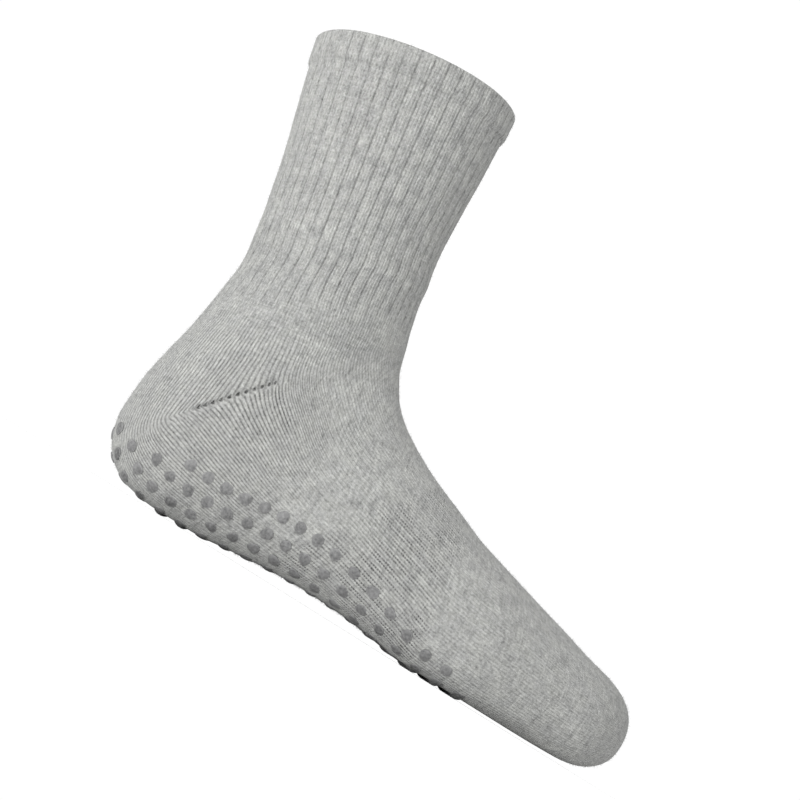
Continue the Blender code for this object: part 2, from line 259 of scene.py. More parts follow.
# The masks that the material reads, with their values on the hem. FAR is in millimetres, past every pattern.
FAR = 99.0
HEM_MASKS = {"ribbed": 0.35, "below": FAR, "off_gore": FAR}
HEM_MASKS |= dict.fromkeys(("band", "heel", "on_gore", "dark_wales"), 0.0)
LINING_MASKS = {**HEM_MASKS, "ribbed": 0.25}

# Loose fibres that stand off the knit: their number, radius, length and root, how much they point outwards
# and scatter, and their start over the sole
FIBRES = 46000
FIBRE_RADIUS = 0.045 * MM
FIBRE_LENGTH = (0.5 * MM, 1.6 * MM)
FIBRE_ROOT = 0.12 * MM
FIBRE_OUTWARD = 0.7
FIBRE_SCATTER = 0.55
FIBRES_FROM = 2 * MM

# A dot's dome: its sides, its rings as shares of its radius, and the ring that is sunk in the knit
DOT_SIDES = 20
DOT_RINGS = (1.0, 0.95, 0.85, 0.68, 0.46, 0.22)
DOT_SKIRT = 1.03
DOT_SKIRT_DEPTH = 0.35 * MM
DOT_EDGE_RISE = 0.16 * MM

# How dots differ: their spread, their wobble, and their rise as a share of the sole's height over the floor.
# Those on the floor, where the sole is no higher than the slack allows, nearly reach it.
DOT_SPREAD = (1.12, 1.28)
DOT_WOBBLE = 0.09
DOT_RISE = (0.46, 0.6)
DOT_FLOOR_RISE = 0.95
DOT_FLOOR_SLACK = 1.2

# Colours of the yarn before its flecks, of the silicone, and the range of the fibres' and the floor's greys
KNIT_GREY = (0.251, 0.253, 0.2465, 1.0)
KNIT_WARM_GREY = (0.255, 0.257, 0.2465, 1.0)
SILICONE_GREY = 0.126
FIBRE_GREYS = (0.20, 0.35)
FLOOR_GREYS = (0.945, 0.96)
FLOOR_REACH = 30.0

# Scales of the knit's patterns that don't follow the stitches
GRAIN_SCALE = 1150.0
BLOTCH_SCALE = 170.0
STRENGTH_SCALE = 85.0
PATCH_SCALE = 62.0
DRIFT_SCALE = 48.0

# The painted shade under the welt's step, in millimetres below the collar's edge
WELT_SHADE_BELOW = WELT_HEIGHT / MM + 0.3

# The light: a white sky, a soft light from beside the heel and a low one from the camera's side
SKY_LIGHT = 1.02
KEY = {"place": (-1.35, -1.05, 0.70), "target": (0, 0, 0.1), "width": 1.0, "height": 1.0, "power": 8.0}
FILL = {"place": (-0.50, -1.05, 0.06), "target": (0, 0, 0.04), "width": 1.3, "height": 0.1, "power": 11.5}

# The camera
CAMERA_LENS = 71.5
CAMERA_SENSOR = 36
CAMERA_DISTANCE = 0.66
CAMERA_HEIGHT = 0.0004
CAMERA_ROLL = math.radians(32)
CAMERA_TARGET = (-0.020, 0, 0.0935)

# Soft creases: a line in the side view from one point to another, how wide it is and how deep.
# Lengths are in millimetres from the heel's back and the floor. side: 0 for both sides, 1 or -1 for one.
CREASE_TABLE = """
x1  z1  x2  z2  wide deep side
96  92  66  84  5.0  0.32 0
90  103 58  97  5.5  0.30 0
84  120 60  114 6.0  0.24 0
104 84  84  66  6.0  0.24 0
50  62  62  78  6.0  0.28 0
14  80  34  74  5.0  0.25 0
9   100 30  96  6.0  0.25 0
168 56  160 30  5.0  0.22 0
180 52  174 28  5.5  0.20 0
193 48  190 24  5.0  0.18 0
72  160 62  156 7.0  0.25 -1
4   150 20  146 7.0  0.25 0
"""


def read_table(text):
    """The rows of a table as dictionaries, by the names in its first line."""
    lines = text.strip().splitlines()
    names = lines[0].split()
    return [dict(zip(names, map(float, line.split()))) for line in lines[1:]]


def ring_shape(row):
    """The values of a section that its table row gives as they are."""
    return {name: row[name] for name in ("girth", "under", "over")}


def foot_sections():
    """The sections of the foot, from the toes back."""
    found = []
    for row in read_table(FOOT_TABLE):
        x = row["at"] * FOOT_LENGTH
        sole_z = SOLE_LEVEL + row["sole"] * ARCH_RISE
        top_z = row["top"] * INSTEP_HEIGHT
        found.append(Section(x, sole_z, x, top_z, row["half"] * BALL_WIDTH, row["flat"], **ring_shape(row)))
    return found


def heel_sections():
    """The sections fanned round the heel, from the arch to the ankle."""
    found = []
    for row in read_table(HEEL_TABLE):
        sole_x = row["at"] * FOOT_LENGTH
        sole_z = SOLE_LEVEL + row["arch"] * ARCH_RISE + row["rise"] * INSTEP_HEIGHT
        top_x = row["top_at"] * FOOT_LENGTH
        top_z = row["top"] * INSTEP_HEIGHT
        half = row["half"] * HEEL_WIDTH
        found.append(Section(sole_x, sole_z, top_x, top_z, half, row["flat"], **ring_shape(row)))
    return found


def leg_sections():
    """The sections of the leg, from the ankle to the collar."""
    found = []
    length = (COLLAR_HEIGHT - ANKLE_HEIGHT) / math.cos(LEG_LEAN)
    for row in read_table(LEG_TABLE):
        up = row["up"] * length
        mid_x = ANKLE_AT * FOOT_LENGTH - up * math.sin(LEG_LEAN)
        mid_z = ANKLE_HEIGHT + up * math.cos(LEG_LEAN)
        tilt = LEG_LEAN + math.radians(row["tip"])
        half_depth = (ANKLE_DEPTH + row["deep"] * (COLLAR_DEPTH - ANKLE_DEPTH)) / 2
        half = (ANKLE_WIDTH + row["wide"] * (COLLAR_WIDTH - ANKLE_WIDTH)) / 2
        ahead, higher = half_depth * math.cos(tilt), half_depth * math.sin(tilt)
        ends = (mid_x - ahead, mid_z - higher, mid_x + ahead, mid_z + higher)
        found.append(Section(*ends, half, 0.0, **ring_shape(row)))
    return found


class Sock:
    """The sock's outer surface. A way is a distance from the toes, along the sole and up the back."""

    def __init__(self):
        self.rows = np.array(foot_sections() + heel_sections() + leg_sections())
        steps = np.hypot(np.diff(self.rows[:, 0]), np.diff(self.rows[:, 1]))
        self.ways = np.concatenate([[0.0], np.cumsum(steps)])
        self.slopes = self.smooth_slopes()
        self.collar_way = self.ways[-1]
        self.rows_to_heel = int(np.argmax(np.diff(self.rows[:, 0]) >= 0)) + 1

    def smooth_slopes(self):
        """The slope of each column at each row, level at its peaks so that a flat stretch stays flat."""
        gaps = np.diff(self.ways)[:, None]
        rates = np.diff(self.rows, axis=0) / gaps
        before, after = rates[:-1], rates[1:]
        near, far = gaps[:-1], gaps[1:]
        same_way = before * after > 0
        before_weight, after_weight = 2 * far + near, far + 2 * near
        before = np.where(same_way, before, 1.0)
        after = np.where(same_way, after, 1.0)
        middle = (before_weight + after_weight) / (before_weight / before + after_weight / after)
        return np.concatenate([rates[:1], np.where(same_way, middle, 0.0), rates[-1:]])

    def section_at(self, way):
        """The section of the plain wall at a way, without the welt's step."""
        way = min(max(way, 0.0), self.collar_way)
        row = int(np.clip(np.searchsorted(self.ways, way, side="right") - 1, 0, len(self.ways) - 2))
        gap = self.ways[row + 1] - self.ways[row]
        t = (way - self.ways[row]) / gap
        start = (2 * t**3 - 3 * t**2 + 1) * self.rows[row] + (t**3 - 2 * t**2 + t) * gap * self.slopes[row]
        end = (3 * t**2 - 2 * t**3) * self.rows[row + 1] + (t**3 - t**2) * gap * self.slopes[row + 1]
        return Section(*(start + end))

    def way_of_sole_x(self, x):
        """The way to where the sole is at x, between the toes and the heel's back."""
        count = self.rows_to_heel
        return float(np.interp(-x, -self.rows[:count, 0], self.ways[:count]))


def half_ring(section):
    """One side of a ring from the sole point to the top point: its distances across and up and along."""
    height = math.hypot(section.top_x - section.sole_x, section.top_z - section.sole_z)
    widest = section.girth * height
    flat = section.flat * section.half
    turn = np.linspace(0, math.pi / 2, CURVE_STEPS)
    low_across = flat + (section.half - flat) * np.sin(turn) ** (2 / section.under)
    low_up = widest * (1 - np.cos(turn) ** (2 / section.under))
    high_across = section.half * np.cos(turn) ** (2 / section.over)
    high_up = widest + (height - widest) * np.sin(turn) ** (2 / section.over)
    across = np.concatenate([[0.0], low_across, high_across[1:]])
    up = np.concatenate([[0.0], low_up, high_up[1:]])
    lengths = np.concatenate([[0.0], np.cumsum(np.hypot(np.diff(across), np.diff(up)))])
    return across, up, lengths


def rounding(reach, fullness):
    """The size left of a rounded end at a share of the way to its tip."""
    return (1 - reach**fullness) ** (1 / fullness)


def toe_section(sock, reach):
    """A section of the rounded toe, at a share of the way from the start of the rounding to the tip."""
    x = FOOT_LENGTH * (TOE_CAP_AT + (1 - TOE_CAP_AT) * reach)
    section = sock.section_at(sock.way_of_sole_x(x))
    size = rounding(reach, TOE_FULLNESS_UP)
    tip_z = TOE_TIP * INSTEP_HEIGHT
    return section._replace(
        sole_x=x,
        sole_z=tip_z + (section.sole_z - tip_z) * size,
        top_x=x,
        top_z=tip_z + (section.top_z - tip_z) * size,
        half=section.half * rounding(reach, TOE_FULLNESS_ACROSS),
    )


def smooth(value, low, high):
    """0 below low, 1 above high and a smooth step between them."""
    t = np.clip((value - low) / (high - low), 0, 1)
    return t * t * (3 - 2 * t)


def points_on(section, distances):
    """Points at distances along the +Y side of a ring."""
    across, up, lengths = half_ring(section)
    direction = np.array([section.top_x - section.sole_x, 0, section.top_z - section.sole_z])
    direction /= np.linalg.norm(direction)
    y = np.interp(distances, lengths, across)
    along = np.interp(distances, lengths, up)
    return np.array([section.sole_x, 0, section.sole_z]) + along[:, None] * direction + y[:, None] * [0, 1, 0]


def wale_distances(section, off_gore, wales):
    """Where wales lie on a side of a ring, from the sole's middle. Away from the heel they lie evenly."""
    length = half_ring(section)[2][-1]
    even = length * wales / WALES_A_SIDE
    round_heel = np.interp(wales, [0, HEEL_WALES, WALES_A_SIDE], [0, HEEL_SHARE * length, length])
    places = round_heel + (even - round_heel) * smooth(abs(off_gore), *HEEL_WALES_FADE)
    bend = GORE_PULL_BEND * (1 - smooth(places, *GORE_SHARP))
    reach = np.hypot(off_gore, bend) - bend
    pull = GORE_PULL * smooth(places, *GORE_PULL_RISE) * (1 - smooth(places, *GORE_PULL_FALL))
    return places - pull * np.exp(-reach / GORE_PULL_REACH)


def outward_normals(grid):
    """Outward normals of a grid on the +Y side, from its neighbours along and around."""
    along = np.gradient(grid, axis=0)
    around = np.gradient(grid, axis=1)
    around[:, 0] = [0, 1, 0]
    around[:, -1] = [0, -1, 0]
    normals = np.cross(around, along)
    normals /= np.linalg.norm(normals, axis=2, keepdims=True)
    middles = grid.mean(axis=1, keepdims=True)
    return normals * np.sign(np.einsum("ijk,ijk->ij", normals, grid - middles).mean())


def welt_rise(below):
    """How far the welt stands out from the leg's wall, by the distance below its edge."""
    rise = WELT_STEP * smooth(WELT_HEIGHT - below, *WELT_FOLD)
    return rise - edge_rounding(below)


def edge_rounding(below):
    """How far the collar's edge is rounded off, by the distance below it."""
    edge = np.clip(1 - below / WELT_EDGE, 0, 1)
    return WELT_EDGE * (1 - np.sqrt(1 - edge**2))


def edge_steps(steps):
    """The distances below the collar's edge of sections on its rounding."""
    return WELT_EDGE * (1 - np.sin(steps * math.pi / (2 * EDGE_SECTIONS)))


def wall_thickness(shares, section):
    """The wall from outside to inside: terry under the foot and round the heel, plain knit above."""
    round_foot = np.clip(1 - (shares - TERRY_SHARE) / TERRY_FADE, 0, 1)
    up_heel = np.clip(1 - section.sole_z / (TERRY_HEEL_TOP * INSTEP_HEIGHT), 0, 1)
    return LEG_WALL + (SOLE_WALL - LEG_WALL) * round_foot * up_heel


def ribbed_leg(points):
    """1 on the ribbed leg and 0 on the plain foot."""
    slope = (RIB_END_FRONT[1] - RIB_END_BACK[1]) / (RIB_END_FRONT[0] - RIB_END_BACK[0])
    above = points[..., 2] - RIB_END_BACK[1] - (points[..., 0] - RIB_END_BACK[0]) * slope
    return smooth(above, -RIB_END_FADE, RIB_END_FADE)


def arch_band(points):
    """1 on the mesh band round the arch."""
    back = points[..., 0] - (BAND_BACK_AT + BAND_BACK_LEAN * points[..., 2])
    front = points[..., 0] - (BAND_FRONT_AT + BAND_FRONT_LEAN * points[..., 2])
    below_leg = 1 - smooth(points[..., 2], *BAND_TOP)
    return smooth(back, -BAND_FADE, BAND_FADE) * (1 - smooth(front, -BAND_FADE, BAND_FADE)) * below_leg


def heel_pocket(points):
    """1 on the heel, whose wales stand out most in deep grooves with painted shade and a painted highlight,
    fading towards the arch.
    """
    along = (points[..., 0] - HEEL_POCKET_AT[0]) / HEEL_POCKET_STRETCH
    off = np.hypot(along, points[..., 2] - HEEL_POCKET_AT[1])
    return (1 - smooth(off, *HEEL_POCKET_FADE)) * (1 - ribbed_leg(points))


def sole_edge(points, wales):
    """1 on the wales along the edge of the sole, whose grooves get more painted shade."""
    across = smooth(wales, *SOLE_EDGE_WALES[:2]) * (1 - smooth(wales, *SOLE_EDGE_WALES[2:]))
    x = points[..., 0]
    return across * smooth(x, *SOLE_EDGE_AT[:2]) * (1 - smooth(x, *SOLE_EDGE_AT[2:]))


def crease_profile(across):
    """A trough with a low ridge on either side, by the distance across in widths of the crease."""
    return np.exp(-4 * across**2) - 0.55 * np.exp(-2.2 * (np.abs(across) - 1.15) ** 2)


def crease_depth(points, side):
    """The soft creases' depth at points of one side."""
    depth = np.zeros(points.shape[:2])
    x, z = points[..., 0] / MM, points[..., 2] / MM
    for row in read_table(CREASE_TABLE):
        if row["side"] and row["side"] != side:
            continue
        ax, az, bx, bz, wide = (row[name] for name in ("x1", "z1", "x2", "z2", "wide"))
        length = math.hypot(bx - ax, bz - az)
        along = ((x - ax) * (bx - ax) + (z - az) * (bz - az)) / length
        across = ((x - ax) * (az - bz) + (z - az) * (bx - ax)) / length / wide
        ends = smooth(along, -wide, wide / 2) * (1 - smooth(along, length / 2, length + wide))
        depth += row["deep"] * MM * ends * crease_profile(across)
    aside = points[..., 1] / points[..., 1].max(axis=1, keepdims=True)
    return depth * (CREASE_LEAST + (1 - CREASE_LEAST) * smooth(aside, 0.35, 0.85))


def waves(points, side):
    """The cloth's slow unevenness."""
    x, y, z = (points[..., k] / MM for k in range(3))
    slow = np.sin(x * 0.091 + 0.8 * np.sin(z * 0.07 + side) + 0.4) * np.sin(z * 0.083 + y * 0.06 + 1.3 * side)
    fine = np.sin(x * 0.23 + z * 0.11 + 2.1 * side) * np.sin(z * 0.21 - x * 0.07 + y * 0.13)
    return SLOW_WAVE * slow + FINE_WAVE * fine


def whole(half, closed=False):
    """Both sides of the sock from values on the +Y side, with the first column again at the end if closed."""
    both = np.concatenate([half, half[:, -2:0:-1]], axis=1)
    return np.concatenate([both, both[:, :1]], axis=1) if closed else both


def whole_points(plus, minus):
    """The points of both sides."""
    return np.concatenate([plus, minus[:, -2:0:-1]], axis=1)


def corners(values):
    """The values at the corners of a grid's faces, in the order of quads()."""
    return np.stack([values[:-1, :-1], values[1:, :-1], values[1:, 1:], values[:-1, 1:]], axis=-1).ravel()


def quads(rows, around):
    """The faces between rings of points."""
    here = np.arange(rows - 1)[:, None] * around + np.arange(around)
    after = np.arange(rows - 1)[:, None] * around + (np.arange(around) + 1) % around
    return np.stack([here, here + around, after + around, after], axis=-1).reshape(-1, 4)


def fan(rows, around, toe_row):
    """The faces that close the toe's ring, which is the first or the last, with the point after all rings."""
    here = np.arange(around) + (rows - 1) * around * (toe_row == -1)
    after = np.roll(here, -1)
    tip = np.full(around, rows * around)
    return np.stack([here, after, tip] if toe_row == 0 else [after, here, tip], axis=-1)


def fan_corners(values, toe_row):
    """The values at the corners of the faces of fan()."""
    here, after = values[toe_row, :-1], values[toe_row, 1:]
    first, second = (here, after) if toe_row == 0 else (after, here)
    return np.stack([first, second, (here + after) / 2], axis=-1).ravel()


def add_object(name, data):
    """A new object of the scene."""
    made = bpy.data.objects.new(name, data)
    bpy.context.scene.collection.objects.link(made)
    return made


def add_values(mesh, name, values):
    """A value at each of a mesh's points, for its material."""
    made = mesh.attributes.new(name, "FLOAT", "POINT")
    made.data.foreach_set("value", np.asarray(values, np.float32))


def grid_mesh(name, points, layers, values, toe_row=None, tip=None, normals=None):
    """A mesh of rings of points with UV layers and values at its points. A tip closes the toe's ring."""
    rows, around = points.shape[:2]
    places, faces = points.reshape(-1, 3), quads(rows, around).tolist()
    if tip is not None:
        places = np.concatenate([places, [tip]])
        faces += fan(rows, around, toe_row).tolist()
    mesh = bpy.data.meshes.new(name)
    mesh.from_pydata(places, [], faces)
    for layer, pair in layers.items():
        loops = [corners(grid) for grid in pair]
        if tip is not None:
            loops = [np.concatenate([loop, fan_corners(grid, toe_row)]) for loop, grid in zip(loops, pair)]
        flat = np.stack(loops, axis=-1).astype(np.float32).ravel()
        mesh.uv_layers.new(name=layer).data.foreach_set("uv", flat)
    for attribute, grid in values.items():
        flat = (np.ones((rows, around)) * grid).ravel()
        if tip is not None:
            flat = np.append(flat, flat[toe_row])
        add_values(mesh, attribute, flat)
    mesh.shade_smooth()
    if normals is not None:
        mesh.normals_split_custom_set_from_vertices(normals)
    return add_object(name, mesh)


def joined_normals(points, tip):
    """The smooth normals of a surface and of its tip, as they are before it is cut into pieces."""
    joined = grid_mesh("joined", points, {}, {}, toe_row=0, tip=tip)
    normals = np.empty(points.size + 3, np.float32)
    joined.data.vertices.foreach_get("normal", normals)
    bpy.data.objects.remove(joined)
    return normals[:-3].reshape(points.shape), normals[-3:].reshape(1, 3)


def way_round(wales):
    """The numbers of the wales all the way round, from those of the first side."""
    return np.concatenate([wales, 2 * WALES_A_SIDE - wales[-2::-1]])


def lengths_along(points):
    """The length from the first ring to each point, along its wale."""
    steps = np.linalg.norm(np.diff(points, axis=0), axis=2)
    return np.concatenate([np.zeros((1, points.shape[1])), np.cumsum(steps, axis=0)])


class Knit:
    """The knit's surface as rings of points from the toe to the collar, over its edge and down its hem."""

    def __init__(self, sock, middle):
        self.sock, self.middle = sock, middle
        wales = [wale + part for wale in range(WALES_A_SIDE) for part in WALE_POINTS]
        self.wales = np.array([*wales, WALES_A_SIDE])
        self.gore_way = sock.way_of_sole_x(GORE_AT * FOOT_LENGTH)
        self.ways, self.sections = self.outer_rows()
        hem_down = np.linspace(2 * WELT_EDGE, WELT_HEIGHT + WELT_EDGE, EDGE_SECTIONS)
        self.hem_below = np.concatenate([edge_steps(np.arange(EDGE_SECTIONS - 1, -1, -1)), hem_down])
        self.plain = self.plain_points(self.sections, self.ways, self.wales)
        self.distances = self.wale_places(self.sections, self.ways, self.wales)
        level = np.ones_like(self.distances)
        self.off_gore = (self.ways - self.gore_way)[:, None] * level
        self.below = (sock.collar_way - self.ways)[:, None] * level
        self.masks = self.place_masks()

    def outer_rows(self):
        """The ways and sections of the outside's rings. gore_row is the ring along the heel's gore."""
        sock = self.sock
        toe_way = sock.way_of_sole_x(TOE_CAP_AT * FOOT_LENGTH)
        turns = np.linspace(math.radians(88.5), 0, CAP_SECTIONS, endpoint=False)
        toe = [toe_section(sock, math.sin(turn)) for turn in turns]
        toe_ways = [sock.way_of_sole_x(section.sole_x) for section in toe]
        steps = np.array(GORE_STEPS) * MM
        beside_gore = 2 * steps[-1] - steps[-2]
        welt = sock.collar_way - WELT_HEIGHT
        foot = np.linspace(toe_way, self.gore_way - beside_gore, FOOT_SECTIONS)
        leg = np.linspace(self.gore_way + beside_gore, welt - 3 * WELT_EDGE, LEG_SECTIONS)
        fold = np.linspace(welt - 2.2 * WELT_EDGE, welt + 2.2 * WELT_EDGE, FOLD_SECTIONS)
        cuff = np.linspace(welt + 3.2 * WELT_EDGE, sock.collar_way - WELT_EDGE, CUFF_SECTIONS)
        rim = sock.collar_way - edge_steps(np.arange(1, EDGE_SECTIONS + 1))
        around_gore = [self.gore_way - steps[::-1], [self.gore_way], self.gore_way + steps]
        ways = np.concatenate([foot, *around_gore, leg, fold, cuff, rim])
        self.gore_row = len(toe) + len(foot) + len(steps)
        return np.concatenate([toe_ways, ways]), toe + [sock.section_at(way) for way in ways]

    def wale_places(self, sections, ways, wales):
        return np.array([wale_distances(s, way - self.gore_way, wales) for s, way in zip(sections, ways)])

    def plain_points(self, sections, ways, wales):
        places = self.wale_places(sections, ways, wales)
        return np.array([points_on(section, distances) for section, distances in zip(sections, places)])

    def place_masks(self):
        """Where the knit's patterns are, and the distances that they follow in millimetres."""
        points, wales, level = self.plain, self.wales, np.ones_like(self.distances)
        from_first = smooth(wales, GORE_FIRST_WALE - 1, GORE_FIRST_WALE + 0.5)
        to_last = 1 - smooth(wales, GORE_LAST_WALE - 0.5, GORE_LAST_WALE + 1)
        fork = np.clip(1 - np.abs(wales - GORE_LAST_WALE) / FORK_WALES, 0, 1)
        self.fork = fork * smooth(-self.off_gore, *FORK_START) * (1 - smooth(-self.off_gore, *FORK_END))
        return {
            "ribbed": ribbed_leg(points),
            "band": arch_band(points),
            "heel": heel_pocket(points),
            "on_gore": from_first * to_last * level,
            "dark_wales": np.maximum(self.fork, sole_edge(points, wales)),
            "below": self.below / MM,
            "off_gore": self.off_gore / MM,
        }

    def groove_depth(self):
        """How deep the grooves between wales are at each point."""
        ribbed, band, heel = (self.masks[name] for name in ("ribbed", "band", "heel"))
        over_gore = smooth(self.off_gore, *UNDER_GORE_FADE)
        heel_groove = UNDER_GORE_GROOVE + (HEEL_GROOVE - UNDER_GORE_GROOVE) * over_gore
        depth = FOOT_GROOVE + heel * (heel_groove - FOOT_GROOVE) + band * (BAND_GROOVE - FOOT_GROOVE)
        return depth + ribbed * (LEG_GROOVE - depth)

    def gore_depth(self):
        """The gore's trough, with a low ridge on either side of it."""
        off = np.abs(self.off_gore) * (1 - self.distances / GORE_FAN_REACH)
        trough = GORE_TROUGH_DEPTH * np.exp(-((off / GORE_TROUGH_WIDTH) ** 2))
        return trough - GORE_RIDGE_HEIGHT * np.exp(-(((off - GORE_RIDGE_OFF) / GORE_RIDGE_WIDTH) ** 2))

    def relief(self):
        """How deep the knit's pattern lies under the plain wall."""
        wales = self.wales
        valley = smooth(1 - np.abs(wales % RIB_WALES - RIB_WALES / 2) / VALLEY_WALES, 0, 1)
        crown = 0.5 - 0.5 * np.cos(2 * math.pi * wales / RIB_WALES)
        groove = np.abs(2 * (wales % 1) - 1) ** 3
        ribs = smooth(self.below, 0.1 * WELT_EDGE, 3 * WELT_EDGE) * self.masks["ribbed"]
        behind_toe = smooth(FOOT_LENGTH - self.plain[..., 0], *TOE_FADE)
        depth = ribs * (RIB_DEPTH * valley + RIB_CROWN * crown) + behind_toe * self.groove_depth() * groove
        return depth + self.masks["on_gore"] * self.gore_depth() + FORK_DEPTH * self.fork

    def outside_points(self):
        """The outside of both sides, with the pattern, the creases and the welt."""
        depth, normals = self.relief(), outward_normals(self.plain)
        rise = welt_rise((self.sock.collar_way - self.ways)[:, None])
        uneven = smooth(self.plain[..., 2], *(SOLE_LEVEL + height for height in UNEVEN_FROM))
        sides = []
        for side in (1, -1):
            under = depth + uneven * (crease_depth(self.plain, side) + waves(self.plain, side))
            sides.append((self.plain + normals * (rise - under)[..., None]) * [1, side, 1])
        return whole_points(*sides)

    def hem_points(self):
        """The hem inside the welt, from the collar's edge down."""
        ways = self.sock.collar_way - self.hem_below
        plain = self.plain_points([self.sock.section_at(way) for way in ways], ways, self.wales)
        inward = WELT_WALL - WELT_STEP - 0.8 * edge_rounding(self.hem_below)
        hem = plain - outward_normals(plain) * inward[:, None, None]
        return whole_points(hem, hem * [1, -1, 1])

    def number_layers(self):
        """The numbers of wales and courses as UV layers, with courses from the toe and from the collar."""
        lengths = lengths_along(self.plain)
        from_toe, from_collar = lengths / COURSE, LEG_COURSES + (lengths - lengths[-1]) / COURSE
        down_hem = self.hem_below[:, None] / COURSE
        wales = np.ones((len(self.ways) + len(down_hem), 1)) * way_round(self.wales)
        return {
            name: (wales, whole(np.concatenate([courses, courses[-1:] + down_hem]), closed=True))
            for name, courses in (("knit", from_toe), ("leg_knit", from_collar))
        }

    def mask_values(self):
        """The masks at all the points of the outside and the hem."""
        found = {}
        for name, grid in self.masks.items():
            hem = np.full((len(self.hem_below), grid.shape[1]), HEM_MASKS[name])
            found[name] = whole(np.concatenate([grid, hem]))
        return found

    def build(self):
        """The foot, and the leg with its hem, as two pieces that meet at the gore's ring."""
        points = np.concatenate([self.outside_points(), self.hem_points()])
        points[..., 0] -= self.middle
        tip = np.array([FOOT_LENGTH - self.middle, 0, TOE_TIP * INSTEP_HEIGHT])
        normals, tip_normal = joined_normals(points, tip)
        self.outside, self.normals = points[: len(self.ways)], normals[: len(self.ways)]
        layers, values = self.number_layers(), self.mask_values()
        pieces = []
        foot_rows, leg_rows = slice(0, self.gore_row + 1), slice(self.gore_row, None)
        for name, rows, end in (("knitted_foot", foot_rows, tip), ("knitted_leg", leg_rows, None)):
            cut_layers = {layer: (across[rows], along[rows]) for layer, (across, along) in layers.items()}
            cut_values = {mask: grid[rows] for mask, grid in values.items()}
            cut_normals = normals[rows].reshape(-1, 3)
            if end is not None:
                cut_normals = np.concatenate([cut_normals, tip_normal])
            pieces.append(grid_mesh(name, points[rows], cut_layers, cut_values, 0, end, cut_normals))
        return pieces

    def build_lining(self):
        """The inside, from behind the hem to the toe."""
        sock = self.sock
        wales = np.linspace(0, WALES_A_SIDE, 2 * WALES_A_SIDE + 1)
        top = sock.collar_way - WELT_HEIGHT + 2 * WELT_EDGE
        toe_way = sock.way_of_sole_x(TOE_CAP_AT * FOOT_LENGTH)
        behind_hem = np.linspace(top, top - 4 * WELT_EDGE, LINING_TOP_SECTIONS)
        ways = np.concatenate([behind_hem, np.linspace(top - 6 * WELT_EDGE, toe_way, LINING_SECTIONS)])
        turns = np.linspace(0.2, math.radians(88), LINING_TOE_SECTIONS)
        toe = [toe_section(sock, math.sin(turn)) for turn in turns]
        sections = [sock.section_at(way) for way in ways] + toe
        ways = np.concatenate([ways, [sock.way_of_sole_x(section.sole_x) for section in toe]])
        plain = self.plain_points(sections, ways, wales)
        thick = np.array([wall_thickness(wales / WALES_A_SIDE, section) for section in sections])
        behind = smooth(ways, top - 3 * WELT_EDGE, top)[:, None]
        thick = thick - behind * (thick - 0.6 * (WELT_WALL - WELT_STEP))
        inside = plain - outward_normals(plain) * thick[..., None]
        inside[-3:, :, 0] = np.minimum(inside[-3:, :, 0], FOOT_LENGTH - LEG_WALL)
        points = whole_points(inside, inside * [1, -1, 1])
        points[..., 0] -= self.middle
        courses = LINING_COURSES + whole(lengths_along(plain) / COURSE, closed=True)
        numbers = (np.ones((len(points), 1)) * way_round(wales), courses)
        tip = np.array([FOOT_LENGTH - LEG_WALL - self.middle, 0, TOE_TIP * INSTEP_HEIGHT])
        return grid_mesh("lining", points, {"knit": numbers, "leg_knit": numbers}, LINING_MASKS, -1, tip)


def build_fibres(points, normals):
    """Fine loose fibres over the knit, each a thin closed spike, in one mesh."""
    rng = np.random.default_rng(3)
    here, along, around = points[:-1], points[1:], np.roll(points, -1, axis=1)[:-1]
    areas = np.linalg.norm(np.cross(along - here, around - here), axis=2).ravel()
    areas *= here[..., 2].ravel() > SOLE_LEVEL + FIBRES_FROM
    cells = rng.choice(len(areas), FIBRES, p=areas / areas.sum())
    shares = rng.uniform(0, 1, (2, FIBRES, 1))
    here, along, around = (grid.reshape(-1, 3)[cells] for grid in (here, along, around))
    roots = here + shares[0] * (along - here) + shares[1] * (around - here)
    scatter = rng.normal(0, FIBRE_SCATTER, (FIBRES, 3))
    directions = normals[:-1].reshape(-1, 3)[cells] * FIBRE_OUTWARD + scatter
    directions /= np.linalg.norm(directions, axis=1, keepdims=True)
    first = np.cross(directions, [0.3, 1.0, 0.2])
    first /= np.linalg.norm(first, axis=1, keepdims=True)
    second = np.cross(directions, first)
    foot = roots - directions * FIBRE_ROOT
    turns = np.arange(3) * 2 * math.pi / 3
    ring = [foot + FIBRE_RADIUS * (first * math.cos(turn) + second * math.sin(turn)) for turn in turns]
    tips = roots + directions * rng.uniform(*FIBRE_LENGTH, (FIBRES, 1))
    places = np.stack([*ring, tips], axis=1).reshape(-1, 3)
    spike = np.array([(0, 1, 3), (1, 2, 3), (2, 0, 3), (2, 1, 0)])
    faces = (4 * np.arange(FIBRES)[:, None, None] + spike).reshape(-1, 3)
    mesh = bpy.data.meshes.new("loose_fibres")
    mesh.from_pydata(places, [], faces.tolist())
    return add_object("loose_fibres", mesh)


